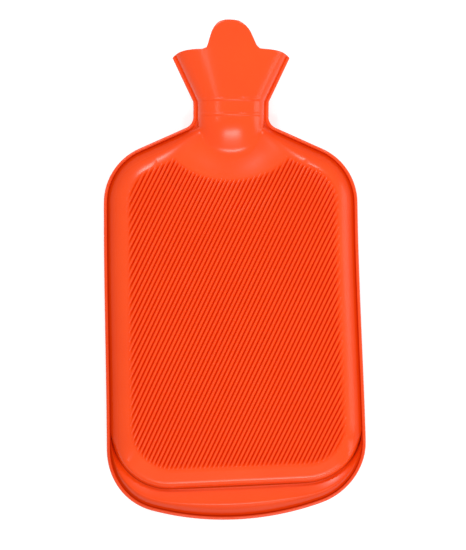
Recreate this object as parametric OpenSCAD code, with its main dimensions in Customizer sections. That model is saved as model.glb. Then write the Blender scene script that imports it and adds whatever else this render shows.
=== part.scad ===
// Ribbed rubber hot water bottle, lying on its back: a moulded rubber bag with a neck, a filling funnel and a
// hanging tab, a threaded socket moulded into the neck, and a screw stopper with its sealing washer.
// Lengths are millimetres. +Y runs from the bottom of the bag to the hanging tab, +Z is up from the table.

/* [Bag] */
// Width over the seam flanges near the bottom
body_w = 195.4; // [186:0.2:208]
// Width over the seam flanges just below the shoulders
shoulder_w = 192.2; // [184:0.2:206]
// Length from the bottom edge to the root of the neck
body_len = 299; // [280:1:320]
// Thickness over the two flat panels, and the depth of the neck over its ridges
body_t = 34; // [33:0.5:40]
// Thickness of the rubber
wall = 2.2; // [1.8:0.1:2.6]
// Width of the seam flange round the bag
flange_w = 3; // [2:0.25:4]
// Thickness of the seam flange
flange_t = 3.6; // [3:0.2:5]
// Distance over which the cushion rounds up from the flange to its flat panel
edge_run = 18; // [14:0.5:21]
// Radius of the long curve along the bottom edge
bottom_r = 215; // [190:1:260]
// Radius of the two bottom corners
corner_r = 48; // [44:1:54]
// Radius of the two shoulders
shoulder_r = 45; // [40:1:50]
// Fall of the shoulders away from the neck, in degrees
shoulder_fall = 24; // [20:0.5:28]
// Radius of the flange's fillets between the neck and the shoulders
fillet_r = 9; // [7:0.5:11]

/* [Bottom band] */
// Height of the crease above the bottom edge, where the cushion ends
crease_y = 25; // [23:0.5:28]
// Radius of the crease round the bottom corners
crease_r = 37; // [32:1:42]
// Half thickness of the rounded band below the crease
band_h = 8; // [6.5:0.25:9.5]

/* [Ribs] */
// Distance from one rib to the next
rib_pitch = 3.04; // [2.6:0.02:5]
// Width of a rib at its foot
rib_w = 2; // [1.4:0.1:2.3]
// Width of a rib at its crest
rib_crest = 0.7; // [0.4:0.1:1.2]
// Height of a rib above the panel
rib_h = 0.9; // [0.5:0.1:1.3]
// Length over which a rib fades out at each end
rib_fade = 4; // [2:0.5:8]
// Angle of the ribs from the bag's width, in degrees
rib_angle = 64.6; // [56:0.2:72]

/* [Apron] */
// Radius of the smooth dished apron round the root of the neck
apron_r = 45; // [41:0.5:49]
// Radius at which the dish reaches its full depth
apron_floor_r = 20; // [16:0.5:24]
// Depth of the dish
apron_depth = 10; // [7:0.25:11]

/* [Neck] */
// Width of the neck over its seam flanges
neck_w = 56; // [53:0.5:60]
// Length of the neck, from the shoulders to the throat of the funnel
neck_len = 17; // [15:0.5:20]
// Length of the domed root of the neck, which sinks into the apron
dome_len = 23; // [20:0.5:26]
// Distance from the root of the neck down to the place where the dome starts to fall
dome_start = 6; // [4:0.5:9]
// Height of the two moulded ridges round the neck
ridge_h = 0.8; // [0.4:0.1:1]
// Width of one ridge
ridge_w = 2.4; // [1.6:0.1:3.2]
// Height of the lower ridge above the root of the neck
ridge_y = 7.6; // [5:0.2:9]
// Distance between the two ridges
ridge_gap = 11.4; // [9:0.2:13]

/* [Funnel and tab] */
// Length of the funnel, from its throat to the corners of its mouth
funnel_len = 34; // [31:0.5:38]
// Width of the mouth over its seam flanges
mouth_w = 87; // [80:0.5:94]
// Height of the rim's middle above its corners
rim_rise = 6.6; // [4:0.2:8]
// Width of the hanging tab where it leaves the rim
tab_w = 38.8; // [34:0.2:44]
// Width of the tab near its top
tab_top_w = 28; // [24:0.5:32]
// Length of the tab above the middle of the rim
tab_len = 22.4; // [18:0.2:28]
// Radius of the tab's top corners
tab_r = 10; // [7:0.5:11]
// Radius of the fillets at the tab's root
tab_root_r = 4; // [2:0.5:6]

/* [Neck socket] */
// Outer radius of the socket's barrel
socket_r = 12.8; // [12.6:0.1:13.2]
// Length of the socket
socket_len = 20; // [18:0.5:22]
// Radius of the collar at the socket's top and of the key ring at its middle
collar_r = 13.8; // [13.5:0.1:14.2]
// Thickness of the collar and of the key ring
collar_t = 2.4; // [2:0.1:3.2]

/* [Thread] */
// Rise of the stopper for one whole turn
thread_pitch = 4; // [3.5:0.1:5]
// Radius halfway up the stopper's thread
thread_r = 9.5; // [9:0.1:9.6]
// Depth of the thread
thread_depth = 1.4; // [1:0.1:1.6]
// Clearance between the two threads
thread_gap = 0.4; // [0.35:0.05:0.5]

/* [Stopper] */
// Length of the threaded shank below the head
shank_len = 18; // [16:0.5:19]
// Radius of the hollow in the shank
core_r = 6.6; // [6:0.1:7]
// Radius of the stopper's head
head_r = 12.6; // [12.2:0.1:13]
// Thickness of the head
head_t = 3; // [2.4:0.1:4]
// Width of the finger grip
grip_w = 23; // [20:0.5:24]
// Height of the finger grip above the head
grip_h = 20; // [16:0.5:22]
// Thickness of the finger grip at its foot and its top
grip_t = 6.4; // [5:0.2:7]
// Radius of the finger grip's top corners
grip_corner = 5; // [3:0.5:6]
// Depth of the thumb hollow across each face of the finger grip
grip_hollow = 1; // [0.5:0.1:1.5]
// Thickness of the sealing washer
washer_t = 2.5; // [2:0.1:3]
// Distance by which the head overhangs the washer all round
washer_inset = 0.3; // [0.2:0.1:0.6]

/* [Hidden] */
rubber_orange = [0.93, 0.26, 0.10];
socket_ivory = [0.90, 0.88, 0.80];
stopper_black = [0.10, 0.10, 0.11];
washer_grey = [0.30, 0.30, 0.31];

slice = 0.01;        // thickness of a section that a hull joins to the next
arc_step = 7.5;      // angle between points of the outline's arcs and of the neck's sections
skin_step = 15;      // angle between the levels of the cushion and of the dome
hollow_step = 22.5;  // the same on the surfaces of the water space
oval_step = 18;      // angle between points of the bottom band's oval section
oval_hollow_step = 30;  // the same on its inner surface
screw_step = 20;     // angle between points of the thread's sections
turn_steps = 8;      // sections of the thread in one turn
tall = 4 * body_t;   // height of a prism that cuts right through the bag
sink = 0.3;          // depth to which a raised detail is sunk into what carries it

half_t = body_t / 2;

// Heights along the bag, measured from its bottom edge
throat_y = body_len + neck_len;
corner_y = throat_y + funnel_len;
rim_y = corner_y + rim_rise;
tab_y = rim_y + tab_len;
socket_bottom = body_len;
socket_top = socket_bottom + socket_len;
washer_y = socket_top;
head_y = washer_y + washer_t;
dome_y = body_len - dome_start;

// Sections of the neck and the funnel, inside the seam flanges
neck_half_w = neck_w / 2 - flange_w;
neck_half_t = half_t - ridge_h;
mouth_half_w = mouth_w / 2 - flange_w;
neck_squareness = 2.8;
mouth_squareness = 2.3;
edge_squareness = 2.3;

// Stations along an arc: the angle that the outline faces there, and the point
function stations(centre, r, from, to) =
    let (n = max(2, ceil(abs(to - from) / arc_step)))
    [for (i = [0 : n]) let (a = from + (to - from) * i / n) [a, centre + r * [cos(a), sin(a)]]];

function arc(centre, r, from, to) = [for (s = stations(centre, r, from, to)) s[1]];

// A right-hand outline and its mirror image, joined into one closed loop
function mirrored(points) = concat(points,
    [for (i = [len(points) - 1 : -1 : 0]) if (points[i][0] > sink) [-points[i][0], points[i][1]]]);

// Point on a quarter of a superellipse of unit size: 2 is an ellipse, more is squarer
function bend(angle, squareness) = [pow(cos(angle), 2 / squareness), pow(sin(angle), 2 / squareness)];

function squircle(half_w, half_h, squareness) = [for (a = [0 : arc_step : 360 - arc_step])
    [sign(cos(a)) * half_w * pow(abs(cos(a)), 2 / squareness),
     sign(sin(a)) * half_h * pow(abs(sin(a)), 2 / squareness)]];

// Arcs of the bag's outline on the right-hand side
corner_c = [body_w / 2 - corner_r,
    bottom_r - sqrt(pow(bottom_r - corner_r, 2) - pow(body_w / 2 - corner_r, 2))];
corner_turn = atan2(corner_c[1] - bottom_r, corner_c[0]);
shoulder_turn = 90 - shoulder_fall;
shoulder_peak = body_len + neck_w / 2 * tan(shoulder_fall);
shoulder_cx = shoulder_w / 2 - shoulder_r;
shoulder_c = [shoulder_cx, shoulder_peak - shoulder_cx * tan(shoulder_fall) - shoulder_r / cos(shoulder_fall)];

// Outline of the bag, with its shoulders carried on to a peak behind the neck
function bag_points() = mirrored(concat(
    arc([0, bottom_r], bottom_r, -90, corner_turn),
    arc(corner_c, corner_r, corner_turn, 0),
    arc(shoulder_c, shoulder_r, 0, shoulder_turn),
    [[0, shoulder_peak]]));

// Outline of the cushion, which ends at the crease, drawn in by a distance from the foot of its wall
function cushion_points(inset) = let (in = flange_w + inset) mirrored(concat(
    arc([body_w / 2 - flange_w - crease_r, crease_y + crease_r], crease_r - inset, -90, 0),
    arc(shoulder_c, shoulder_r - in, 0, shoulder_turn),
    [[0, shoulder_peak - in / cos(shoulder_fall)]]));

// Closed skin over a stack of rings of as many points, each anticlockwise seen from the last ring's side
module loft(rings) {
    n = len(rings[0]);
    top = len(rings) - 1;
    polyhedron(
        points = [for (ring = rings) each ring],
        faces = concat(
            [[for (i = [0 : n - 1]) i], [for (i = [n - 1 : -1 : 0]) top * n + i]],
            [for (k = [0 : top - 1], i = [0 : n - 1])
                let (a = k * n + i, b = k * n + (i + 1) % n) each [[a, a + n, b + n], [a, b + n, b]]]));
}

// Levels of a pillow with rounded edges: how far each ring is drawn in and how high it lies, from back to front
function pillow_levels(run, height, squareness, step) = [for (a = [-90 : step : 90])
    let (p = bend(abs(a), squareness)) [run * (1 - p[0]), half_t + sign(a) * height * p[1]]];

// Lays a flat outline at the seam, as thick as asked
module plate(thickness) translate([0, 0, half_t - thickness / 2]) linear_extrude(thickness) children();

// Stands a turned part in the neck, with its foot at a height along it
module in_neck(y) translate([0, y, half_t]) rotate([-90, 0, 0]) children();

// Puts the middle of the length at the origin
module placed() translate([0, -tab_y / 2, 0]) children();

module both_faces() for (side = [0, 1])
    translate([0, 0, half_t]) mirror([0, 0, side]) translate([0, 0, -half_t]) children();

module cushion(skin, step) {
    levels = pillow_levels(edge_run - skin, half_t - skin, edge_squareness, step);
    loft([for (level = levels) [for (p = cushion_points(skin + level[0])) [p[0], p[1], level[1]]]]);
}

// What the apron's dish takes away above the cushion's front
module dish(skin, sides) {
    steps = 6;
    fall = [for (i = [0 : steps]) let (r = apron_floor_r + (apron_r - apron_floor_r) * i / steps)
        [r, body_t - skin + sink - (apron_depth + sink) * (1 + cos(180 * i / steps)) / 2]];
    translate([0, body_len, 0]) rotate_extrude($fn = sides)
        polygon(concat([[0, fall[0][1]]], fall, [[apron_r, tall], [0, tall]]));
}

// Stations along the bottom edge, from half way along it to just above the right-hand corner
function bottom_stations() = concat(
    stations([0, bottom_r], bottom_r, -90, corner_turn),
    [for (s = stations(corner_c, corner_r, corner_turn, 0)) if (s[0] > corner_turn) s],
    [[0, [body_w / 2, crease_y + crease_r + band_h]]]);

// The rounded band along the bottom edge: an oval swept round the bottom curve and both corners
module band(skin, step) {
    half_w = crease_y / 2;
    right = bottom_stations();
    path = concat(
        [for (i = [len(right) - 1 : -1 : 1]) [180 - right[i][0], [-right[i][1][0], right[i][1][1]]]], right);
    loft([for (s = path) let (out = [cos(s[0]), sin(s[0])], centre = s[1] - (flange_w + half_w) * out)
        [for (a = [0 : step : 359]) let (p = centre + (half_w - skin) * cos(a) * out)
            [p[0], p[1], half_t - (band_h - skin) * sin(a)]]]);
}

// Section of the neck piece at a height, standing proud of the plain tube by a ridge's height. Below dome_y the
// tube rounds off like a thumb, and above throat_y it flares into the funnel.
function neck_section(y, skin, proud = 0) = let (
    fall = max(0, (dome_y - y) / dome_len),
    size = sqrt(max(0, 1 - fall * fall)),
    flare = max(0, (y - throat_y) / funnel_len),
    squareness = neck_squareness + (mouth_squareness - neck_squareness) * min(1, flare),
    half_w = max(sink, (neck_half_w - skin) * size) + (mouth_half_w - neck_half_w) * flare + proud,
    half_h = max(sink, (neck_half_t - skin) * size) + ridge_h * min(1, flare) + proud)
    [for (p = squircle(half_w, half_h, squareness)) [-p[0], y, half_t + p[1]]];

// Heights at which the dome's sections lie, from its tip to the plain tube
function dome_heights(skin, step) = [for (a = [0 : step : 90]) dome_y - (dome_len - skin) * cos(a)];

// The dome, the plain tube with its two ridges, and the funnel carried on past the rim to the tab's top
module neck_piece() loft(concat(
    [for (y = dome_heights(0, skin_step)) neck_section(y, 0)],
    [for (y = [body_len + ridge_y, body_len + ridge_y + ridge_gap], end = [-1, 0, 1])
        neck_section(y + end * ridge_w / 2, 0, end == 0 ? ridge_h : 0)],
    [for (y = [corner_y, tab_y + wall]) neck_section(y, 0)]));

// The hollow under the socket, and the funnel's inside above it
module neck_hollows() {
    loft(concat([for (y = dome_heights(wall, hollow_step)) neck_section(y, wall)],
        [neck_section(socket_bottom + sink, wall)]));
    loft([for (y = [socket_top, corner_y, tab_y + 2 * wall]) neck_section(y, wall)]);
}

// Radius of the arc that the rim follows from corner to corner
rim_r = (pow(mouth_w / 2, 2) + pow(rim_rise, 2)) / (2 * rim_rise);

module rim_disc() translate([0, rim_y - rim_r]) circle(r = rim_r, $fn = 120);

// The fillet between the tab's right-hand side and the rim, its foot just below the rim
module tab_root() {
    centre = [tab_w / 2 + tab_root_r, rim_y - rim_r + sqrt(pow(rim_r, 2) - pow(tab_w / 2 + tab_root_r, 2))
        + tab_root_r - sink];
    polygon(concat([[tab_w / 4, corner_y]], arc(centre, tab_root_r, 270, 180), [[tab_w / 4, centre[1]]]));
}

module tab_outline() {
    hull() {
        for (side = [-1, 1])
            translate([side * (tab_top_w / 2 - tab_r), tab_y - tab_r]) circle(r = tab_r, $fn = 32);
        translate([-tab_w / 2, corner_y]) square([tab_w, rim_rise]);
    }
    for (side = [0, 1]) mirror([side, 0]) tab_root();
}

// Space that the trimmed mouth keeps: up to the rim on both walls, and up to the tab's edge on the front one
module mouth_trim() {
    plate(tall) rim_disc();
    translate([0, 0, half_t]) linear_extrude(tall) tab_outline();
}

// Flat outline of the seam flange, with the corners between neck and shoulders filled out
module flange_outline() {
    offset(r = -fillet_r, $fn = 40) offset(delta = fillet_r) {
        polygon(bag_points());
        intersection() {
            polygon(mirrored([[0, body_len - neck_w], [neck_w / 2, body_len - neck_w], [neck_w / 2, throat_y],
                [neck_w / 2 + (mouth_w - neck_w) / 2 * tab_y / corner_y, tab_y], [0, tab_y]]));
            rim_disc();
        }
    }
}

// Where a line through a point enters and leaves a convex outline, as distances along the line
function crossings(p, along, outline) = [for (i = [0 : len(outline) - 1])
    let (a = outline[i], edge = outline[(i + 1) % len(outline)] - a, inward = [-edge[1], edge[0]],
        rate = inward * along)
    if (abs(rate) > slice) [-(inward * (p - a)) / rate, rate]];
function entering(hits) = max([for (h = hits) if (h[1] > 0) h[0]]);
function leaving(hits) = min([for (h = hits) if (h[1] < 0) h[0]]);

// Stretches of the line that lie on the flat panel and outside the apron
function rib_spans(p, along, outline) = let (
    hits = crossings(p, along, outline),
    start = entering(hits),
    end = leaving(hits),
    to_apron = [0, body_len] - p,
    nearest = to_apron * along,
    reach = apron_r * apron_r - to_apron * to_apron + nearest * nearest)
    reach <= 0 ? [[start, end]]
        : [[start, min(end, nearest - sqrt(reach))], [max(start, nearest + sqrt(reach)), end]];

// A rib with sloping sides and ends, its foot sunk into the panel
module rib(length) hull() {
    translate([-length / 2, -rib_w / 2, -2 * sink]) cube([length, rib_w, sink]);
    translate([rib_fade - length / 2, -rib_crest / 2, 0]) cube([length - 2 * rib_fade, rib_crest, rib_h]);
}

module ribs() {
    along = [cos(rib_angle), sin(rib_angle)];
    apart = [sin(rib_angle), -cos(rib_angle)];
    middle = [0, (crease_y + body_len) / 2];
    outline = cushion_points(edge_run);
    count = floor(body_len / 2 / rib_pitch);
    for (i = [-count : count]) {
        p = middle + i * rib_pitch * apart;
        for (span = rib_spans(p, along, outline)) {
            length = span[1] - span[0];
            mid = p + along * (span[0] + span[1]) / 2;
            if (length > 3 * rib_fade)
                translate([mid[0], mid[1], body_t]) rotate([0, 0, rib_angle]) rib(length);
        }
    }
}

// Outside of the socket, which is also the pocket that the rubber forms round it
module socket_shape() {
    cylinder(r = socket_r, h = socket_len, $fn = 64);
    for (y = [socket_len / 2 - collar_t, socket_len - collar_t])
        translate([0, 0, y]) cylinder(r = collar_r, h = collar_t, $fn = 64);
}

// A round-crested right-hand screw of one start, standing on its foot
module screw(mean_r, length, foot = 0) {
    steps = ceil(turn_steps * length / thread_pitch);
    loft([for (k = [0 : steps]) let (y = length * k / steps)
        [for (a = [0 : screw_step : 360 - screw_step])
            let (r = mean_r + thread_depth / 2 * cos(a - 360 * (y + foot) / thread_pitch))
            [r * cos(a), r * sin(a), y]]]);
}

// The space for water, from the bottom band to the foot of the socket
module cavity() {
    difference() {
        intersection() {
            cushion(wall, hollow_step);
            plate(tall) translate([-body_w, 0]) square([2 * body_w, body_len - 2 * wall]);
        }
        both_faces() dish(wall, 40);
    }
    band(wall, oval_hollow_step);
}

module bottle() color(rubber_orange) placed() difference() {
    union() {
        difference() {
            cushion(0, skin_step);
            both_faces() dish(0, 48);
        }
        band(0, oval_step);
        plate(flange_t) flange_outline();
        intersection() {
            neck_piece();
            mouth_trim();
        }
        ribs();
    }
    cavity();
    neck_hollows();
    in_neck(socket_bottom) {
        socket_shape();
        translate([0, 0, socket_len - sink]) cylinder(r = collar_r, h = 2 * sink, $fn = 64);
    }
}

module neck_insert() color(socket_ivory) placed() in_neck(socket_bottom) difference() {
    socket_shape();
    translate([0, 0, -sink]) screw(thread_r + thread_gap, socket_len + 2 * sink, -sink);
}

// The finger grip standing on the head, waisted by a hollow across each face
module grip() {
    hollow_h = 0.8 * grip_h;
    hollow_r = (pow(hollow_h / 2, 2) + pow(grip_hollow, 2)) / (2 * grip_hollow);
    difference() {
        translate([0, grip_t / 2, 0]) rotate([90, 0, 0]) linear_extrude(grip_t) hull() {
            for (side = [-1, 1])
                translate([side * (grip_w / 2 - grip_corner), grip_h - grip_corner])
                    circle(r = grip_corner, $fn = 32);
            translate([-grip_w / 3, -sink]) square([2 * grip_w / 3, sink]);
        }
        for (side = [-1, 1])
            translate([-grip_w, side * (grip_t / 2 - grip_hollow + hollow_r), grip_h / 2])
                rotate([0, 90, 0]) cylinder(r = hollow_r, h = 2 * grip_w, $fn = 120);
    }
}

module stopper() color(stopper_black) placed() in_neck(head_y) difference() {
    union() {
        translate([0, 0, -shank_len]) screw(thread_r, shank_len, socket_len + washer_t - shank_len);
        cylinder(r = head_r, h = head_t, $fn = 64);
        translate([0, 0, head_t]) grip();
    }
    translate([0, 0, -shank_len - sink]) cylinder(r = core_r, h = shank_len + sink, $fn = 48);
}

module sealing_washer() color(washer_grey) placed() in_neck(washer_y) difference() {
    cylinder(r = head_r - washer_inset, h = washer_t, $fn = 64);
    translate([0, 0, -sink])
        cylinder(r = thread_r + thread_depth / 2 + thread_gap, h = washer_t + 2 * sink, $fn = 64);
}

bottle();
neck_insert();
stopper();
sealing_washer();
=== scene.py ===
# %% [markdown]
# # A ribbed rubber hot water bottle
# This lesson dresses a packed construction model. The frame gives the pieces at their real size and says how
# they move. The rubber bag is modelled again here as one smooth moulded skin, because its rounded shoulders,
# its dished apron and its soft ribs are what the eye reads first. The socket, the stopper and the washer
# keep their construction meshes and get finishes.

# %% Load the frame
import math

import bmesh
import bpy
import numpy as np
from mathutils import Matrix, Vector


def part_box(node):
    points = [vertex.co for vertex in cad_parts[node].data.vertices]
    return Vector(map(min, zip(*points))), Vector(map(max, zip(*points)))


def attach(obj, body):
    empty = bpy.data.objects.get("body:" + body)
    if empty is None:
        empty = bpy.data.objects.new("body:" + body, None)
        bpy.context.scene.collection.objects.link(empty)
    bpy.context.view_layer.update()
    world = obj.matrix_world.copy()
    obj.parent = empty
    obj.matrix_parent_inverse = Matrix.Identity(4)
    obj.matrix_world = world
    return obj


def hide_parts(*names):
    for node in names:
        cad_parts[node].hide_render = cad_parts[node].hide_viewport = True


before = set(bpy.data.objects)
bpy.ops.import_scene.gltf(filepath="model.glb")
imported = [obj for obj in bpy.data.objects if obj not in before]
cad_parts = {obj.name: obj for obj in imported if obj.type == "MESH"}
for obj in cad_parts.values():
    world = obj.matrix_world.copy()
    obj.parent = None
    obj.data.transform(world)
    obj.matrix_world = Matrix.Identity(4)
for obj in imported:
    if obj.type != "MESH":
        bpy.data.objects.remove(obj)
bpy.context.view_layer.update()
print("pieces in the frame:", sorted(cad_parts))

# %% [markdown]
# ## Sizes
# The bag is worked in millimetres from its bottom edge, with the seam at height 0, because a mould is drawn
# that way. One last step brings the finished mesh into the frame's metres. The overall length comes from the
# frame, so the skin can't drift away from the construction model.

# %% Sizes of the bag
MM = 0.001
low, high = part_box("bottle")
length = (high.y - low.y) / MM
body_w, shoulder_w = 195.4, 192.2
half_t = 17.0
body_len = 299.0
wall = 2.2
flange_w, flange_h, flange_edge_r = 3.0, 1.8, 1.1
groove_h, groove_w = 1.2, 0.8
edge_run, edge_squareness = 22.0, 2.0
bottom_r, corner_r, shoulder_r = 215.0, 48.0, 45.0
shoulder_fall = math.radians(24)
fillet_r = 9.0
crease_y, crease_h = 26.0, 9.6
crease_left_r, crease_right_r = 46.0, 42.0
band_h, band_run, band_top_at = 12.6, 16.0, 0.42
lip_run, lip_squareness = 4.4, 2.1
rib_sink = 0.75
print(f"bag {body_w:.1f} mm wide, {length:.1f} mm long, {2 * half_t:.0f} mm thick")

# %% Sizes of the neck, the funnel and the tab
neck_w, neck_len = 57.0, 17.0
mouth_w, funnel_len, rim_rise = 89.4, 34.0, 6.1
throat_y = body_len + neck_len
corner_y = throat_y + funnel_len
rim_y = corner_y + rim_rise
neck_half_w = neck_w / 2 - flange_w
mouth_half_w = mouth_w / 2 - flange_w
neck_half_t, mouth_half_t = 16.8, 17.0
neck_squareness, mouth_squareness = 2.4, 2.15
dome_y, dome_len = body_len + 4.0, 46.0
dome_slope, dome_bend, dome_roundness = math.tan(math.radians(23)), 13.0, 2.6
neck_fillet, funnel_fillet = 2.2, 3.8
apron_r, apron_floor_r, apron_depth, apron_fillet = 62.0, 14.0, 7.8, 5.0
ridge_h, ridge_w = 0.6, 2.8
ridges_y = (body_len + 7.6, body_len + 19.0)
join_y = body_len + 5.0
socket_y, socket_r, collar_r, collar_t = body_len + 20.0, 12.8, 13.8, 2.4
print(f"throat at {throat_y:.0f} mm, rim at {rim_y:.1f} mm, tab to {length:.0f} mm")

# %% [markdown]
# ## Outlines
# A mould maker draws the seam line first: long arcs joined by straight sides. Only one half is drawn, and
# its mirror image closes it. Straight stretches are divided evenly, so that the skin has faces of a steady
# size.


# %% Arcs, even points and mirror images
def arc(centre, r, start, end, step=3.5):
    """Points on an arc in degrees, a few millimetres apart."""
    count = max(2, math.ceil(abs(math.radians(end - start)) * r / step))
    angles = np.radians(np.linspace(start, end, count + 1))
    return np.stack([centre[0] + r * np.cos(angles), centre[1] + r * np.sin(angles)], 1)


def evenly(points, step):
    """The same line with its long stretches divided."""
    line = [points[0]]
    for a, b in zip(points[:-1], points[1:]):
        count = max(1, round(float(np.linalg.norm(b - a)) / step))
        line += [a + (b - a) * k / count for k in range(1, count + 1)]
    return np.array(line)


def closed(half):
    """A right-hand half and its mirror image, anticlockwise from the bottom."""
    left = half[::-1] * (-1, 1)
    return np.concatenate([half, left[left[:, 0] < -0.01]])


# %% The seam line and the foot of the cushion
corner_c = np.array([body_w / 2 - corner_r,
                     bottom_r - math.sqrt((bottom_r - corner_r) ** 2 - (body_w / 2 - corner_r) ** 2)])
corner_turn = math.degrees(math.atan2(corner_c[1] - bottom_r, corner_c[0]))
shoulder_turn = 90 - math.degrees(shoulder_fall)
shoulder_peak = body_len + neck_w / 2 * math.tan(shoulder_fall)
shoulder_cx = shoulder_w / 2 - shoulder_r
shoulder_c = (shoulder_cx, shoulder_peak - shoulder_cx * math.tan(shoulder_fall)
              - shoulder_r / math.cos(shoulder_fall))
fillet_cx = neck_w / 2 + fillet_r
fillet_c = (fillet_cx, shoulder_peak - fillet_cx * math.tan(shoulder_fall)
            + fillet_r / math.cos(shoulder_fall))
seam_step, fillet_step = 4.0, 1.5
seam_line = closed(evenly(np.concatenate([
    arc((0, bottom_r), bottom_r, -90, corner_turn),
    arc(corner_c, corner_r, corner_turn, 0)[1:],
    arc(shoulder_c, shoulder_r, 0, shoulder_turn),
    arc(fillet_c, fillet_r, 270 - math.degrees(shoulder_fall), 180, fillet_step),
    [[neck_w / 2, join_y + 2 * edge_run]]]), seam_step))


def crease_corner(r):
    """The crease round the right-hand corner, from the bottom up to the flange."""
    return arc((body_w / 2 - flange_w - r, crease_y + r), r, -90, 0)


cushion_top = closed(np.concatenate([
    arc(shoulder_c, shoulder_r - flange_w, 0, shoulder_turn),
    [[0.0, shoulder_peak - flange_w / math.cos(shoulder_fall)]]]))
crease_left = crease_corner(crease_left_r)[::-1] * (-1, 1)
cushion_foot = np.concatenate([crease_corner(crease_right_r), cushion_top, crease_left])
crease_path = np.concatenate([crease_corner(crease_right_r)[::-1], crease_left[::-1]])
print("points on the seam line:", len(seam_line), "and round the cushion:", len(cushion_foot))

# %% [markdown]
# ## Heights
# Each face of the bag is a height over the seam plane, so it can be written as a few simple forms that melt
# into each other. A soft maximum and a soft minimum do what a mould's polished fillets do. The same function
# serves the back, which has no ribs and no swelling.


# %% Distances to the outlines
def to_line(xy, line):
    """Distance from each point to a closed line."""
    a = line
    edge = np.roll(line, -1, axis=0) - a
    size = np.maximum((edge ** 2).sum(1), 1e-9)
    found = []
    for part in np.array_split(xy, max(1, len(xy) // 4000)):
        offset = part[:, None, :] - a[None]
        t = np.clip((offset * edge).sum(2) / size, 0, 1)
        found.append(np.linalg.norm(offset - t[..., None] * edge, axis=2).min(1))
    return np.concatenate(found)


def inside(xy, line):
    """Distance inwards from an outline that bulges everywhere, negative outside it."""
    edge = np.roll(line, -1, axis=0) - line
    inward = np.stack([-edge[:, 1], edge[:, 0]], 1) / np.linalg.norm(edge, axis=1)[:, None]
    return (xy @ inward.T - (line * inward).sum(1)).min(1)


# %% Soft unions of heights
def soft_max(a, b, blend):
    """The higher of two heights, with a fillet where they cross."""
    mix = np.clip(0.5 + 0.5 * (a - b) / blend, 0, 1)
    return b + (a - b) * mix + blend * mix * (1 - mix)


def soft_min(a, b, blend):
    """The lower of two heights, with a fillet where they cross."""
    return -soft_max(-a, -b, blend)


def ramp(x, start, end):
    """Smooth step from 0 at start to 1 at end."""
    t = np.clip((x - start) / (end - start), 0, 1)
    return t * t * (3 - 2 * t)


def bulge(t, squareness):
    """Height of a rounded form over its run: 0 at t = 0 and 1 from t = 1."""
    return (1 - (1 - np.clip(t, 0, 1)) ** squareness) ** (1 / squareness)


# %% The tube of the neck
def tube_size(y):
    """Half width, half depth and squareness of the neck's section at a height along it."""
    fall = np.clip((dome_y - y) / dome_len, 0, 1)
    drop = dome_slope * (np.hypot(fall * dome_len, dome_bend) - dome_bend)
    flare = np.maximum(0, (y - throat_y) / funnel_len)
    half_w = neck_half_w * np.sqrt(1 - fall ** dome_roundness) + (mouth_half_w - neck_half_w) * flare
    half_d = neck_half_t - drop + (mouth_half_t - neck_half_t) * np.minimum(1, flare)
    return half_w, half_d, neck_squareness + (mouth_squareness - neck_squareness) * np.minimum(1, flare)


def tube_height(x, y):
    """Height of the neck's outside over the seam plane."""
    half_w, half_d, squareness = tube_size(y)
    across = np.clip(np.abs(x) / np.maximum(half_w, 1e-3), 0, 1)
    return half_d * (1 - across ** squareness) ** (1 / squareness)


throat_size = [round(float(value), 1) for value in tube_size(throat_y)]
print("half width, half depth and squareness at the throat:", throat_size)


# %% The ribbed part of the panel
rib_fade, rib_margin, rib_shift = 5.0, 13.2, 1.4
rib_free_r, rib_free_width = 41.0, 1.28


def rib_room(xy):
    """How far a point lies inside the ribbed part of the panel."""
    from_edge = inside(xy - (rib_shift, 0), cushion_foot) - rib_margin
    return np.minimum(from_edge, np.hypot(xy[:, 0] / rib_free_width, xy[:, 1] - body_len) - rib_free_r)


# %% The swelling of the panel
panel_half_w, panel_half_len, panel_mid_y = 90.0, 150.0, 160.0
crown_h, crown_sides, crown_ends, ripple_h = 0.55, 0.9, 0.7, 0.12


def panel_crown(x, y):
    """The gentle swelling of a rubber panel that has been folded and filled."""
    over, along = x / panel_half_w, (y - panel_mid_y) / panel_half_len
    ripple = ripple_h * np.sin(x / 17 + y / 41) * np.cos(y / 33)
    return crown_h - crown_sides * over ** 2 - crown_ends * along ** 2 + ripple


# %% The bottom band, from the flange's groove over its top to the foot of the cushion
crease_starts, crease_full = 1.0, 9.0
band_rise, band_fall = 0.9, 1.1


def band_height(from_seam, band_w, foot_h):
    """Height of the band at a distance from the seam, where it is band_w wide."""
    share = np.clip((from_seam - flange_w) / np.maximum(band_w, 0.1), 0, 1)
    top = foot_h + (band_h - foot_h) * bulge(band_w / band_run, 2)
    up = np.sin(math.pi / 2 * np.minimum(share, band_top_at) / band_top_at) ** band_rise
    down = 1 - ((np.maximum(share, band_top_at) - band_top_at) / (1 - band_top_at)) ** band_fall
    band = np.where(share < band_top_at, groove_h + (top - groove_h) * up, foot_h + (top - foot_h) * down)
    return np.where(band_w > 0.05, band, groove_h)


# %% The cushion, with its apron pressed in below the neck
apron_climb = 0.5


def cushion_height(xy, from_foot, foot_h, at_crease, crown, sink):
    """Height of the cushion, its panel swollen by a crown and sunk under the ribs."""
    x, y = xy[:, 0], xy[:, 1]
    under_ribs = crown * sink * ramp(rib_room(xy), 0, rib_fade)
    side = bulge(from_foot / edge_run, edge_squareness)
    lip = bulge(from_foot / lip_run, lip_squareness)
    edge = (1 - at_crease) * side + at_crease * lip
    swell = half_t + crown * panel_crown(x, y)
    cushion = foot_h + (swell - foot_h) * edge - under_ribs
    from_neck = np.hypot(x, y - body_len)
    dip = np.clip((from_neck - apron_floor_r) / (apron_r - apron_floor_r), 0, 1)
    apron = half_t - apron_depth * (1 + np.cos(math.pi * dip)) / 2
    apron = apron + apron_climb * np.maximum(0, from_neck - apron_r) - under_ribs
    return soft_min(cushion, apron, apron_fillet)


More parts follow.
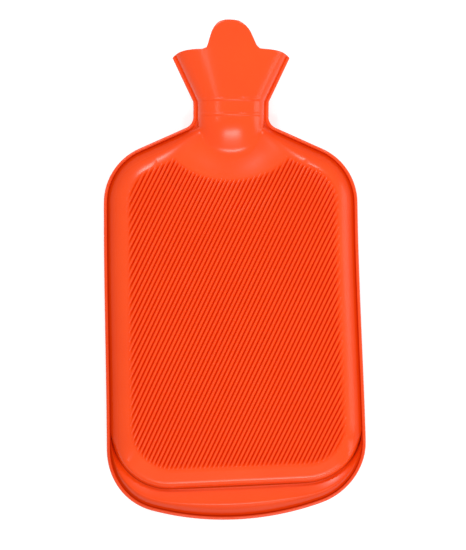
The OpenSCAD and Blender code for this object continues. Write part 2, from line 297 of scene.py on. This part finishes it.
# %% The whole skin
def skin_height(xy, crown, sink=rib_sink):
    """Height of the bag's skin over the seam plane."""
    x, y = xy[:, 0], xy[:, 1]
    from_seam = to_line(xy, seam_line)
    from_foot = inside(xy, cushion_foot)
    band_w = np.maximum(0, from_seam - flange_w - from_foot)
    at_crease = ramp(band_w, crease_starts, crease_full)
    foot_h = groove_h + (crease_h - groove_h) * at_crease
    cushion = cushion_height(xy, from_foot, foot_h, at_crease, crown, sink)
    body = np.where(from_foot > 0, cushion, band_height(from_seam, band_w, foot_h))
    body = np.where((from_foot > 0) | (y < body_len - dome_len), body, groove_h)
    body = soft_max(body, tube_height(x, y), neck_fillet)
    flange = flange_h * bulge(from_seam / flange_edge_r, 2)
    flange = flange - (flange_h - groove_h) * ramp(from_seam, flange_w - groove_w, flange_w)
    return np.where(from_seam < flange_w, flange, body)


sample = np.array([[0.0, panel_mid_y], [0.0, 12.0], [0.0, 290.0], [panel_half_w, panel_mid_y]])
print("heights at the panel, the band, the dome and the side:", np.round(skin_height(sample, 1), 1))

# %% [markdown]
# ## The flat pattern
# The skin starts as one flat face inside the seam line. Insets lay rings of faces along the flange and up
# the rounded edge, where the surface turns quickly. The crease is cut across as a chain of edges, and planes
# then slice the middle. Operators keep every ring parallel to the seam, which a plain grid could not do.


# %% Insets and slices
def inset(bm, face, depths):
    """Rings of faces at the given distances inside a face."""
    start = 0.0
    for depth in depths:
        bmesh.ops.inset_region(bm, faces=[face], thickness=depth - start, depth=0, use_boundary=True,
                               use_even_offset=True)
        start = depth


def slices(bm, axis, places, wanted):
    """Cuts the faces whose middle is wanted by planes across an axis."""
    normal = Vector((1, 0, 0)) if axis == 0 else Vector((0, 1, 0))
    for place in places:
        faces = [f for f in bm.faces if wanted(f)]
        edges = {e for f in faces for e in f.edges}
        verts = {v for f in faces for v in f.verts}
        bmesh.ops.bisect_plane(bm, geom=faces + list(edges) + list(verts), dist=1e-4,
                               plane_co=normal * place, plane_no=normal)


# %% Flange, crease and band
flange_rings = (0.1, 0.4, 1.0, 1.6, flange_w - groove_w, 2.6, flange_w)
band_cuts = 11
flat = bmesh.new()
pattern = flat.faces.new([flat.verts.new((x, y, 0)) for x, y in seam_line])
inset(flat, pattern, flange_rings)
ring = list(pattern.verts)
tips = [min(ring, key=lambda v: (v.co - Vector((*end, 0))).length)
        for end in (crease_path[0], crease_path[-1])]
spot = ring.index(tips[0])
ring = ring[spot:] + ring[:spot]
if ring[1].co.y > ring[0].co.y:
    ring = [ring[0]] + ring[:0:-1]
lower = ring[1:ring.index(tips[1])]


def along(line, shares):
    """Points at given shares of a line's length."""
    run = np.concatenate([[0], np.cumsum(np.linalg.norm(np.diff(line, axis=0), axis=1))])
    return np.stack([np.interp(np.asarray(shares) * run[-1], run, line[:, k]) for k in (0, 1)], 1)


bottom = np.array([tuple(v.co.xy) for v in ring[:len(lower) + 2]])
run = np.cumsum(np.linalg.norm(np.diff(bottom, axis=0), axis=1))
shares = run[:-1] / run[-1]
known = set(flat.verts)
other, _ = bmesh.utils.face_split(pattern, tips[0], tips[1],
                                  coords=[(x, y, 0) for x, y in along(crease_path, shares)])
upper = sorted(set(other.verts) - known,
               key=lambda v: math.atan2(crease_y + crease_left_r - v.co.y, v.co.x))
cushion, band = sorted((pattern, other), key=lambda f: -f.calc_area())
rungs = []
for a, b in zip(lower, upper):
    parts = bmesh.utils.face_split(band, a, b)[0], band
    rungs.append(flat.edges.get((a, b)))
    band = max(parts, key=lambda f: len(f.verts))
bmesh.ops.subdivide_edges(flat, edges=rungs, cuts=band_cuts)
print("rungs across the band:", len(rungs))

# %% Rings up the cushion's edge, and slices across its middle
edge_rings = (0.12, 0.4, 0.9, 1.6, 2.6, 4.0, 5.8, 8.2, 11.2, 14.0, 16.0, 18.0, 20.0, edge_run)
panel_step_x, panel_step_y, apron_step = 6, 8, 1.4
apron_half_w = 42 * apron_step
cushion.material_index = 1
inset(flat, cushion, edge_rings)
everything = list(flat.verts) + list(flat.edges) + list(flat.faces)
bmesh.ops.bisect_plane(flat, geom=everything, dist=1e-4, plane_co=(0, join_y, 0), plane_no=(0, 1, 0),
                       clear_outer=True)
for f in flat.faces:
    f.material_index = 0
middle = max(flat.faces, key=lambda f: f.calc_area())
middle.material_index = 1
slices(flat, 0, np.arange(-75, 76, panel_step_x), lambda f: f.material_index == 1)
slices(flat, 1, np.arange(50, 250, panel_step_y), lambda f: f.material_index == 1)


def by_apron(face):
    """Whether a face lies in or beside the apron."""
    place = face.calc_center_median()
    across_it = abs(place.x) < rib_free_r * rib_free_width + rib_fade
    return across_it and place.y > body_len - rib_free_r - rib_fade


slices(flat, 0, np.arange(-apron_half_w, apron_half_w + 0.2, apron_step), by_apron)
slices(flat, 1, np.arange(248, join_y - 0.5, apron_step), by_apron)
for f in flat.faces:
    f.material_index = 0
bmesh.ops.remove_doubles(flat, verts=flat.verts, dist=0.06)
bmesh.ops.triangulate(flat, faces=[f for f in flat.faces if len(f.verts) > 4])
print("faces in the flat pattern:", len(flat.faces))

# %% [markdown]
# ## From pattern to skin
# The pattern is raised to the front's heights, and its copy is sunk to the back's. Both meet at height 0
# along the seam, where a merge closes the flange's rim. The neck is left open at its top row, ready to be
# carried on.

# %% Raise the front and sink the back
front_verts = list(flat.verts)
back = bmesh.ops.duplicate(flat, geom=front_verts + list(flat.edges) + list(flat.faces))
back_verts = [g for g in back["geom"] if isinstance(g, bmesh.types.BMVert)]
back_faces = [g for g in back["geom"] if isinstance(g, bmesh.types.BMFace)]
for verts, side, crown in ((front_verts, 1, 1.0), (back_verts, -1, 0.0)):
    plan = np.array([tuple(v.co.xy) for v in verts])
    for v, h in zip(verts, skin_height(plan, crown)):
        v.co.z = side * h
bmesh.ops.reverse_faces(flat, faces=back_faces)
bmesh.ops.remove_doubles(flat, verts=[v for v in flat.verts if abs(v.co.z) < 0.02], dist=0.03)
top_row = [e for e in flat.edges if len(e.link_faces) == 1
           and all(abs(v.co.y - join_y) < 0.01 for v in e.verts)]
print("open edges:", sum(len(e.link_faces) == 1 for e in flat.edges), "of which at the neck:", len(top_row))

# %% [markdown]
# ## Neck, funnel and tab
# From here the skin is a tube. Its open row is extruded upwards ring by ring, and each ring is laid on the
# section of the neck at its height. On the way up to the rim the front of the ring bends to the tab's
# outline, so the tab grows out of the funnel's near wall without a joint. Over the lip the same rings run
# down inside.

# %% The tab's outline
rim_squareness = 5.5
tab_reach = 25.0


def rim_at(x):
    """Height of the rim's arc across the mouth."""
    return corner_y + rim_rise * (1 - min(1, abs(2 * x / mouth_w)) ** rim_squareness)


tab_knots = np.array([
    (tab_reach, rim_at(tab_reach)), (23.0, 356.2), (20.6, 357.2), (19.0, 360.4), (16.8, 365.2),
    (14.5, 369.8), (11.4, 373.6), (6.2, 377.0), (0.6, length - 1.1), (-5.0, 377.8), (-10.2, 375.8),
    (-14.0, 371.0), (-16.2, 365.2), (-17.7, 360.0), (-18.9, 357.0), (-21.0, 356.1),
    (-tab_reach, rim_at(tab_reach))])


def through(knots):
    """A smooth line through a few knots."""
    steps = 12
    ends = np.concatenate([[2 * knots[0] - knots[1]], knots, [2 * knots[-1] - knots[-2]]])
    line = []
    for a, b, c, d in zip(ends[:-3], ends[1:-2], ends[2:-1], ends[3:]):
        for t in np.arange(steps) / steps:
            line.append(b + 0.5 * t * (c - a + t * (2 * a - 5 * b + 4 * c - d + t * (3 * (b - c) + d - a))))
    return np.array(line + [knots[-1]])


tab_line = through(tab_knots)
morph_y = body_len + 23.0
tab_edge = float(np.linalg.norm(np.diff(tab_line, axis=0), axis=1).sum())
print(f"length of the tab's edge: {tab_edge:.1f} mm")

# %% Where a point of a ring lies
tab_spread, corner_sharpness = 1.3, 12
shell = flat
across = shell.verts.layers.float.new("across")
facing = shell.verts.layers.float.new("facing")
fin = shell.verts.layers.float.new("fin")
# The layer made below will hold how strongly painted shade darkens each point.
depth = shell.verts.layers.float.new("groove_shade")
for v in {v for e in top_row for v in e.verts}:
    v[across], v[fin] = v.co.x, abs(v.co.z)
    v[facing] = math.copysign(1, v.co.z) if abs(v.co.z) > 0.02 else 0


def aim(v):
    """Where a ring's point meets the rim or the tab's edge, and which way the edge faces there."""
    share = v[across] / neck_half_w
    x = share * mouth_half_w
    if v[facing] > 0 and abs(x) < tab_reach:
        spot = (tab_reach - x) / (2 * tab_reach)
        a, place, b = along(tab_line, np.clip([spot - 0.01, spot, spot + 0.01], 0, 1))
        way = (b - a) / np.linalg.norm(b - a)
        return place, (way[1], -way[0])
    x = math.copysign(min(abs(x), mouth_half_w) + max(0, abs(v[across]) - neck_half_w), x)
    return (None, rim_at(x)), (0.0, 1.0)


def on_tube(v, y, proud=0.0, x=None):
    """Point of the neck's outside at a height."""
    half_w, half_d, squareness = (float(value) for value in tube_size(y))
    if abs(v[across]) > neck_half_w:
        beside = math.copysign(half_w + abs(v[across]) - neck_half_w, v[across])
        return Vector((beside, y, v[facing] * v[fin]))
    if x is None:
        x = half_w * v[across] / neck_half_w
    share = min(1.0, abs(x) / half_w)
    h = (half_d + proud) * (1 - share ** squareness) ** (1 / squareness)
    fillet = neck_fillet + (funnel_fillet - neck_fillet) * ramp(y, join_y, join_y + 8)
    h = float(soft_max(h, groove_h, fillet))
    return Vector((x, y, v[facing] * h))


def on_funnel(v, t, back_off):
    """Point of the funnel's outside, from the throat at 0 to the rim or the tab's edge at 1."""
    (x_end, y_end), out = aim(v)
    y_end -= back_off * out[1]
    y = morph_y + (y_end - morph_y) * t
    if x_end is None:
        return on_tube(v, y)
    x_end -= back_off * out[0]
    plain = float(tube_size(y)[0]) * v[across] / neck_half_w
    return on_tube(v, y, x=plain + (x_end - plain) * t ** tab_spread)


def inward(v, point):
    """The point of the inside that backs a point of the outside."""
    half_w, half_d, _ = (float(value) for value in tube_size(point.y))
    x = math.copysign(min(abs(point.x), half_w), point.x)
    z = 0.0 if abs(v[across]) > neck_half_w else point.z
    flat_h = groove_h * (abs(x) / half_w) ** corner_sharpness
    z = math.copysign(max(0.0, abs(z) - flat_h), z)
    return Vector((x * (half_w - wall) / half_w, point.y, z * (half_d - wall) / half_d))


def on_lip(v, share, back_off):
    """Point of the rounded lip, part of the way from the outside to the inside."""
    outside = on_funnel(v, 1, back_off)
    return outside.lerp(inward(v, outside), share)


# %% Extrude the rings
def next_ring(edges, place):
    """Extrudes an open row and lays the new points where they belong."""
    made = bmesh.ops.extrude_edge_only(shell, edges=edges)["geom"]
    verts = [g for g in made if isinstance(g, bmesh.types.BMVert)]
    new = set(verts)
    for v in verts:
        v.co = place(v)
    return [g for g in made if isinstance(g, bmesh.types.BMEdge) and all(v in new for v in g.verts)]


def ridge(y):
    """How far the two moulded ridges stand out at a height."""
    return sum(ridge_h * (1 - (2 * (y - place) / ridge_w) ** 2) ** 0.7
               for place in ridges_y if abs(y - place) < ridge_w / 2)


ridge_rows = (-1.2, -1, -0.96, -0.86, -0.6, -0.3, 0, 0.3, 0.6, 0.86, 0.96, 1, 1.2)
plain_rows = [body_len + 10.5, body_len + 14.0, body_len + 21.8]
tube_rows = sorted(plain_rows + [place + ridge_w / 2 * k for place in ridges_y for k in ridge_rows])
edges = top_row
for y in tube_rows:
    edges = next_ring(edges, lambda v: on_tube(v, y, ridge(y)))
climb = [0.0, 0.1, 0.2, 0.3, 0.4, 0.5, 0.6, 0.7, 0.78, 0.86, 0.93, 0.97, 1.0]
lip_h = 0.7
lip_rows = ((0.1, 0.35), (0.3, 0.08), (0.5, 0.0), (0.7, 0.08), (0.9, 0.35))
for t in climb:
    edges = next_ring(edges, lambda v: on_funnel(v, t, lip_h))
for share, back_off in lip_rows:
    edges = next_ring(edges, lambda v: on_lip(v, share, back_off))
outer = set(shell.verts)
for v in {v for e in edges for v in e.verts}:
    v[across] = max(-neck_half_w, min(neck_half_w, v[across]))
for t in climb[::-1]:
    edges = next_ring(edges, lambda v: inward(v, on_funnel(v, t, lip_h)))
print("points in the skin:", len(shell.verts))

# %% The pocket that holds the socket, and the hollow below it
hollow_top = body_len - 0.4


def on_circle(v, r, y):
    """Point of a round bore in the neck."""
    point = inward(v, on_tube(v, socket_y))
    turn = math.atan2(point.z, point.x)
    return Vector((r * math.cos(turn), y, r * math.sin(turn)))


edges = next_ring(edges, lambda v: inward(v, on_tube(v, socket_y)))
pocket = ((collar_r, socket_y), (collar_r, socket_y - collar_t), (socket_r, socket_y - collar_t),
          (socket_r, body_len))
for r, y in pocket:
    edges = next_ring(edges, lambda v: on_circle(v, r, y))
for y in np.linspace(hollow_top, dome_y - dome_len + wall, 7):
    edges = next_ring(edges, lambda v: inward(v, on_tube(v, y)))
bmesh.ops.remove_doubles(shell, verts=[v for v in shell.verts if v not in outer], dist=0.05)
bmesh.ops.holes_fill(shell, edges=[e for e in shell.edges if len(e.link_faces) == 1], sides=0)
bmesh.ops.recalc_face_normals(shell, faces=shell.faces)
open_edges = sum(len(e.link_faces) != 2 for e in shell.edges)
print("faces in the skin:", len(shell.faces), "open edges:", open_edges)

# %% [markdown]
# ## Ribs
# The panel's ribs let warmth through without scalding. Each is a long round-backed bar with a narrow groove
# on either side, fading into the panel at its ends. One bar is a grid wrapped into a tube: its long sides
# meet under the panel, its ends close to a point, and its back follows the panel's crown.

# %% Where the ribs run
rib_pitch, rib_w, rib_drop, rib_keel = 3.04, 2.9, 0.95, 0.3
rib_spread, rib_squareness = 0.8, 2.6
rib_sides, rib_step, rib_least = 12, 7, 2.4 * rib_fade
tip_dive, tip_run, tip_drop = 0.2, 1.5, 0.3
rib_angle = math.radians(63.2)
rib_way = np.array([math.cos(rib_angle), math.sin(rib_angle)])
rib_apart = np.array([math.sin(rib_angle), -math.cos(rib_angle)])
rib_middle = np.array([0.0, (crease_y + body_len) / 2])
rib_reach = 190.0


def rib_runs(middle):
    """The stretches of a line along the ribs that lie on the ribbed panel."""
    reach = np.arange(-rib_reach, rib_reach, 0.5)
    room = rib_room(middle + reach[:, None] * rib_way)
    marks = np.flatnonzero(np.diff((room > 0).astype(int)))
    ends = [reach[k] + 0.5 * room[k] / (room[k] - room[k + 1]) for k in marks]
    return list(zip(ends[::2], ends[1::2]))


# %% Make the ribs
def rib(bm, middle, start, end):
    """One bar from start to end along the ribs' way, its back level with the margin round the panel."""
    tip = rib_fade * (1 - np.cos(np.linspace(0, math.pi / 2, 5)))
    count = max(2, round((end - start - 2 * rib_fade) / rib_step))
    body = np.linspace(start + rib_fade, end - rib_fade, count + 1)
    stations = np.concatenate([start + tip[:-1], body, end - tip[-2::-1]])
    made = bmesh.ops.create_grid(bm, x_segments=len(stations) - 1, y_segments=rib_sides, size=1)["verts"]
    row = np.array([round((v.co.x + 1) / 2 * (len(stations) - 1)) for v in made])
    s = stations[row]
    turn = np.array([v.co.y for v in made]) * math.pi
    side = np.sign(np.sin(turn)) * np.abs(np.sin(turn)) ** rib_spread
    on_back = np.cos(turn) > 0
    drop = np.where(on_back, rib_drop * np.abs(side) ** rib_squareness, rib_drop - rib_keel * np.cos(turn))
    centre = middle + s[:, None] * rib_way
    place = centre + side[:, None] * rib_w / 2 * rib_apart
    dive = tip_dive * (1 - np.clip(np.minimum(s - start, end - s) / tip_run, 0, 1)) ** 2
    spine = middle + stations[:, None] * rib_way
    z = skin_height(spine, 1.0, 0.0)[row] - drop - dive
    closed_end = np.minimum(s - start, end - s) < 1e-6
    for v, (x, y), h, shut, (cx, cy) in zip(made, place, z, closed_end, centre):
        v.co = (cx, cy, h - tip_drop) if shut else (x, y, h)


ribs = bmesh.new()
count = int(body_len / 2 / rib_pitch)
for k in range(-count, count + 1):
    middle = rib_middle + k * rib_pitch * rib_apart
    for start, end in rib_runs(middle):
        if end - start > rib_least:
            rib(ribs, middle, start, end)
bmesh.ops.remove_doubles(ribs, verts=ribs.verts, dist=0.004)
bmesh.ops.recalc_face_normals(ribs, faces=ribs.faces)
open_edges = sum(len(e.link_faces) != 2 for e in ribs.edges)
print("faces in the ribs:", len(ribs.faces), "open edges:", open_edges)

# %% [markdown]
# ## Settle and finish the skin
# A used rubber bag never lies quite straight. One small shift leans the lower body and tips its bottom edge,
# for the skin and the ribs alike. Then the parts become one mesh in the frame's metres. Its shading normals
# on the front and back come from the height function itself, so the rings and slices leave no trace in the
# gloss.

# %% Lean and tip
foot_shift, lean, neck_return = 3.6, 4.6, 0.3
foot_spread = 0.004
tip_slope = math.tan(math.radians(2.7))


def settled(xy):
    """Where a point of the plan lies once the bag has settled."""
    x, y = xy[:, 0], xy[:, 1]
    shift = foot_shift - lean * ramp(y, 20, 250) + neck_return * ramp(y, 270, 320)
    rise = tip_slope * x * (1 - ramp(y, 15, 130))
    return np.stack([x * (1 + foot_spread * ramp(y, 230, 60)) + shift, y + rise], 1)


def into_frame(bm):
    """Settles a mesh and brings it from the mould's millimetres to the frame's metres."""
    xy = settled(np.array([tuple(v.co.xy) for v in bm.verts]))
    for v, (x, y) in zip(bm.verts, xy):
        v.co = Vector((x, y - length / 2, half_t + v.co.z)) * MM


# %% Shading normals
def slopes(xy, crown):
    """Outward normals of the front's height function."""
    step = 0.05
    dx, dy = np.array([step, 0]), np.array([0, step])
    rise_x = skin_height(xy + dx, crown) - skin_height(xy - dx, crown)
    rise_y = skin_height(xy + dy, crown) - skin_height(xy - dy, crown)
    normal = np.stack([-rise_x, -rise_y, np.full(len(xy), 2 * step)], 1)
    return normal / np.linalg.norm(normal, axis=1)[:, None]


# %% Painted shade in the grooves, beside the flange and along the crease
# Strengths and reaches of the painted shade beside the flange's wall and along the bottom crease.
flange_shade, flange_reach, neck_fade = 0.8, 3.2, 16
crease_shade, crease_reach = 0.4, 0.9
crease_end_y, crease_fade = crease_y + 60, 20


def painted_groove_shade(xy, front):
    """How strongly painted shade darkens a point: 1 deep in the grooves, 0 on the open skin."""
    from_seam, from_foot = to_line(xy, seam_line), inside(xy, cushion_foot)
    past_flange = np.maximum(0, from_seam - flange_w)
    # Painted shade: strongest at the foot of the flange's wall, along the crease, and on the skin under and
    # between the ribs.
    at_flange = flange_shade * np.exp(-past_flange / flange_reach)
    at_flange = at_flange * ramp(from_seam, flange_w - groove_w, flange_w)
    at_flange = at_flange * (1 - ramp(xy[:, 1], join_y - neck_fade, join_y))
    at_crease = crease_shade * np.exp(-(from_foot / crease_reach) ** 2)
    at_crease = at_crease * ramp(crease_end_y - xy[:, 1], 0, crease_fade)
    under_ribs = ramp(rib_room(xy), 0, rib_fade) * front
    return np.maximum(np.maximum(at_flange, at_crease), under_ribs)


bag_verts = [v for v in shell.verts if v in outer and v.co.y < join_y - 0.05 and abs(v.co.z) > 0.1]
plan = np.array([tuple(v.co.xy) for v in bag_verts])
on_front = np.array([v.co.z > 0 for v in bag_verts])
normals = np.where(on_front[:, None], slopes(plan, 1.0), slopes(plan, 0.0) * (1, 1, -1))
# Each point of the bag stores how strongly painted shade darkens it.
for v, value in zip(bag_verts, painted_groove_shade(plan, on_front)):
    v[depth] = value
shell.verts.index_update()
shading = np.zeros((len(shell.verts), 3))
shading[[v.index for v in bag_verts]] = normals
# Painted shade on the ribs: the further a point lies below the crest, the darker it is painted.
rib_painted_shade = ribs.verts.layers.float.new("groove_shade")
rib_plan = np.array([tuple(v.co.xy) for v in ribs.verts])
crest = skin_height(rib_plan, 1.0, 0.0)
for v, top in zip(ribs.verts, crest):
    v[rib_painted_shade] = min(1.0, max(0.0, (top - v.co.z) / rib_drop + 0.04))
print("points shaded by the height function:", len(bag_verts))


# %% One mesh in the frame
def as_piece(bm, name):
    """A smooth-shaded object at the origin."""
    mesh = bpy.data.meshes.new(name)
    bm.to_mesh(mesh)
    for polygon in mesh.polygons:
        polygon.use_smooth = True
    piece = bpy.data.objects.new(name, mesh)
    bpy.context.scene.collection.objects.link(piece)
    return piece


into_frame(shell)
into_frame(ribs)
skin_mesh, rib_mesh = bpy.data.meshes.new("skin"), bpy.data.meshes.new("ribs")
shell.to_mesh(skin_mesh)
ribs.to_mesh(rib_mesh)
whole = bmesh.new()
whole.from_mesh(skin_mesh)
whole.from_mesh(rib_mesh)
bottle_rubber = as_piece(whole, "bottle_rubber")
shading = np.concatenate([shading, np.zeros((len(rib_mesh.vertices), 3))])
bottle_rubber.data.normals_split_custom_set_from_vertices(shading)
for mesh in (skin_mesh, rib_mesh):
    bpy.data.meshes.remove(mesh)
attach(bottle_rubber, "bag")
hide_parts("bottle")
print("triangles in the rubber:", sum(len(p.vertices) - 2 for p in bottle_rubber.data.polygons))

# %% [markdown]
# ## Rubber
# Pressed natural rubber is evenly coloured and glossy, but never perfectly so. Its colour clouds a little
# over a few centimetres, its gloss comes and goes, and a fine orange-peel grain breaks up the reflections.
# These clouds and this grain are built once as node groups, and each finish uses them with its own values.
# In the grooves, beside the flange and along the crease the colour is darkened as painted shade, and the
# rubber is duller there. How strongly is stored on the mesh's points, so the painted shade follows the form
# from every side.


# %% Node groups shared by the finishes
def group(name, inputs, outputs):
    """An empty node group with float inputs and the outputs asked for."""
    made = bpy.data.node_groups.new(name, "ShaderNodeTree")
    for label, value in inputs:
        socket = made.interface.new_socket(label, in_out="INPUT", socket_type="NodeSocketFloat")
        socket.default_value = value
    for label, kind in outputs:
        made.interface.new_socket(label, in_out="OUTPUT", socket_type=kind)
    return made, made.nodes.new("NodeGroupInput"), made.nodes.new("NodeGroupOutput")


clouds, clouds_in, clouds_out = group("clouds", [("Scale", 30.0), ("Detail", 3.0)],
                                      [("Mask", "NodeSocketFloat")])
place = clouds.nodes.new("ShaderNodeTexCoord")
noise = clouds.nodes.new("ShaderNodeTexNoise")
clouds.links.new(place.outputs["Object"], noise.inputs["Vector"])
clouds.links.new(clouds_in.outputs["Scale"], noise.inputs["Scale"])
clouds.links.new(clouds_in.outputs["Detail"], noise.inputs["Detail"])
clouds.links.new(noise.outputs["Fac"], clouds_out.inputs["Mask"])

grain, grain_in, grain_out = group("grain", [("Size", 900.0), ("Strength", 0.1)],
                                   [("Normal", "NodeSocketVector")])
place = grain.nodes.new("ShaderNodeTexCoord")
noise = grain.nodes.new("ShaderNodeTexNoise")
noise.inputs["Detail"].default_value = 4.0
bump = grain.nodes.new("ShaderNodeBump")
bump.inputs["Distance"].default_value = 0.0002
grain.links.new(place.outputs["Object"], noise.inputs["Vector"])
grain.links.new(grain_in.outputs["Size"], noise.inputs["Scale"])
grain.links.new(grain_in.outputs["Strength"], bump.inputs["Strength"])
grain.links.new(noise.outputs["Fac"], bump.inputs["Height"])
grain.links.new(bump.outputs["Normal"], grain_out.inputs["Normal"])
print("groups:", [g.name for g in bpy.data.node_groups])


# %% A finish from the groups
def finish(name, plain, cloudy, gloss, grain_size, grain_strength):
    """A material whose colour and roughness drift between two values, with a fine grain."""
    material = bpy.data.materials.new(name)
    material.use_nodes = True
    nodes, links = material.node_tree.nodes, material.node_tree.links
    shader = nodes["Principled BSDF"]
    drift = nodes.new("ShaderNodeGroup")
    drift.node_tree = clouds
    tone = nodes.new("ShaderNodeMix")
    tone.data_type = "RGBA"
    tone.inputs["A"].default_value = (*plain, 1)
    tone.inputs["B"].default_value = (*cloudy, 1)
    links.new(drift.outputs["Mask"], tone.inputs["Factor"])
    links.new(tone.outputs["Result"], shader.inputs["Base Color"])
    rough = nodes.new("ShaderNodeMapRange")
    rough.inputs["To Min"].default_value, rough.inputs["To Max"].default_value = gloss
    links.new(drift.outputs["Mask"], rough.inputs["Value"])
    links.new(rough.outputs["Result"], shader.inputs["Roughness"])
    peel = nodes.new("ShaderNodeGroup")
    peel.node_tree = grain
    peel.inputs["Size"].default_value = grain_size
    peel.inputs["Strength"].default_value = grain_strength
    links.new(peel.outputs["Normal"], shader.inputs["Normal"])
    return material, tone.outputs["Result"], rough.outputs["Result"]


# %% Orange rubber, with painted shade and less gloss in its grooves
rubber, open_colour, open_gloss = finish("orange_rubber", (0.83, 0.056, 0.0028), (0.88, 0.071, 0.0045),
                                         (0.17, 0.27), 900, 0.06)
nodes, links = rubber.node_tree.nodes, rubber.node_tree.links
shader = nodes["Principled BSDF"]
# The darker colour is painted shade, laid into the grooves, beside the flange and along the crease, where
# the rubber is also rougher and less shiny.
painted_groove_shade_colour, groove_gloss = (0.56, 0.008, 0.0004, 1), 0.6
open_shine, shine_gone = 0.28, 0.45
groove_shade = nodes.new("ShaderNodeAttribute")
groove_shade.attribute_name = "groove_shade"
# Painted shade: the colour is mixed towards the darker one by the stored attribute.
painted_shade_mix = nodes.new("ShaderNodeMix")
painted_shade_mix.data_type = "RGBA"
painted_shade_mix.inputs["B"].default_value = painted_groove_shade_colour
links.new(groove_shade.outputs["Fac"], painted_shade_mix.inputs["Factor"])
links.new(open_colour, painted_shade_mix.inputs["A"])
links.new(painted_shade_mix.outputs["Result"], shader.inputs["Base Color"])
dull = nodes.new("ShaderNodeMix")
dull.data_type = "FLOAT"
dull.inputs["B"].default_value = groove_gloss
links.new(groove_shade.outputs["Fac"], dull.inputs["Factor"])
links.new(open_gloss, dull.inputs["A"])
links.new(dull.outputs["Result"], shader.inputs["Roughness"])
shader.inputs["Specular IOR Level"].default_value = open_shine
shine = nodes.new("ShaderNodeMapRange")
shine.inputs["To Min"].default_value, shine.inputs["To Max"].default_value = open_shine, 0.0
shine.inputs["From Max"].default_value = shine_gone
links.new(groove_shade.outputs["Fac"], shine.inputs["Value"])
links.new(shine.outputs["Result"], shader.inputs["Specular IOR Level"])
bottle_rubber.data.materials.append(rubber)
print("materials on the bottle:", [m.name for m in bottle_rubber.data.materials])

# %% Socket, stopper and washer
part_finishes = {
    "neck_insert": ("socket_plastic", (0.72, 0.68, 0.56), (0.78, 0.74, 0.62), (0.35, 0.5), 1500, 0.05),
    "stopper": ("stopper_plastic", (0.012, 0.012, 0.014), (0.02, 0.02, 0.022), (0.3, 0.45), 1400, 0.08),
    "sealing_washer": ("washer_rubber", (0.05, 0.05, 0.052), (0.08, 0.08, 0.082), (0.5, 0.7), 1400, 0.1)}
for node, values in part_finishes.items():
    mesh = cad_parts[node].data
    mesh.materials.clear()
    mesh.materials.append(finish(*values)[0])
print("finished:", sorted(part_finishes))

# %% [markdown]
# ## Floor, light and camera
# The bottle is seen from straight above, on a floor that reads as white. Six soft lamps and a pale sky keep
# the light plain, and the lamps' mirror images give the gloss its spots. Floor and sky are lifted to white
# only where the camera, a mirror or glass sees them, so the object's light and shadow stay as they are. The
# camera stands far off with a long lens, so the sides of the bag stay out of sight.

# %% White where it is seen
def seen_white(nodes, links):
    """1 for a ray from the camera, a mirror or glass, and 0 for a ray that lights the object."""
    path = nodes.new("ShaderNodeLightPath")
    seen = path.outputs["Is Camera Ray"]
    for kind in ("Is Glossy Ray", "Is Transmission Ray"):
        either = nodes.new("ShaderNodeMath")
        either.operation = "MAXIMUM"
        links.new(seen, either.inputs[0])
        links.new(path.outputs[kind], either.inputs[1])
        seen = either.outputs["Value"]
    return seen


# %% Floor
floor_size, floor_gap = 3.0, 0.0006
floor_tone, floor_glow = 0.6, 0.6
floor_bm = bmesh.new()
bmesh.ops.create_grid(floor_bm, x_segments=1, y_segments=1, size=floor_size)
floor = as_piece(floor_bm, "floor")
floor.data.transform(Matrix.Translation((0, 0, -floor_gap)))
paper = bpy.data.materials.new("white_floor")
paper.use_nodes = True
nodes, links = paper.node_tree.nodes, paper.node_tree.links
shader = nodes["Principled BSDF"]
shader.inputs["Base Color"].default_value = (floor_tone, floor_tone, floor_tone, 1)
shader.inputs["Roughness"].default_value = 0.9
shader.inputs["Specular IOR Level"].default_value = 0.0
shader.inputs["Emission Color"].default_value = (1, 1, 1, 1)
lift = nodes.new("ShaderNodeMath")
lift.operation = "MULTIPLY"
lift.inputs[1].default_value = floor_glow
links.new(seen_white(nodes, links), lift.inputs[0])
links.new(lift.outputs["Value"], shader.inputs["Emission Strength"])
floor.data.materials.append(paper)
print(f"floor {floor_gap / MM:.1f} mm under the bottle")

# %% Sky and lamps
sky_light, sky_seen = 0.6, 1.0
world = bpy.data.worlds.new("pale_sky")
bpy.context.scene.world = world
world.use_nodes = True
nodes, links = world.node_tree.nodes, world.node_tree.links
sky = nodes["Background"]
sky.inputs["Color"].default_value = (1, 1, 1, 1)
level = nodes.new("ShaderNodeMapRange")
level.inputs["To Min"].default_value, level.inputs["To Max"].default_value = sky_light, sky_seen
links.new(seen_white(nodes, links), level.inputs["Value"])
links.new(level.outputs["Result"], sky.inputs["Strength"])


def softbox(name, place, width, depth, power):
    """A soft oval lamp at a place, turned to the bottle."""
    data = bpy.data.lights.new(name, "AREA")
    data.shape = "ELLIPSE"
    data.size, data.size_y, data.energy = width, depth, power
    lamp = bpy.data.objects.new(name, data)
    lamp.location = place
    lamp.rotation_euler = (-Vector(place)).to_track_quat("-Z", "Y").to_euler()
    bpy.context.scene.collection.objects.link(lamp)


softbox("north_west", (-0.36, 0.68, 0.93), 0.34, 0.20, 3.9)
softbox("north_east", (0.36, 0.72, 0.90), 0.14, 0.14, 1.9)
softbox("south", (0.45, -1.10, 0.75), 0.9, 0.5, 4.0)
softbox("overhead", (0.05, -0.46, 1.05), 0.42, 0.12, 2.5)
softbox("west", (-0.42, 0.15, 1.0), 0.03, 0.1, 0.25)
softbox("east", (1.30, 0.1, 0.45), 0.9, 0.7, 4.2)

# %% Camera
view_h = 0.4164
view_mid = (0.0008, -0.0044)
distance = 4.5
data = bpy.data.cameras.new("camera")
data.sensor_fit = "VERTICAL"
data.sensor_height = 24.0
data.lens = data.sensor_height * (distance - half_t * MM) / view_h
camera = bpy.data.objects.new("camera", data)
camera.location = (*view_mid, distance)
bpy.context.scene.collection.objects.link(camera)
bpy.context.scene.camera = camera
bpy.context.scene.view_settings.view_transform = "Standard"
print(f"lens {data.lens:.0f} mm, {distance} m above the floor")
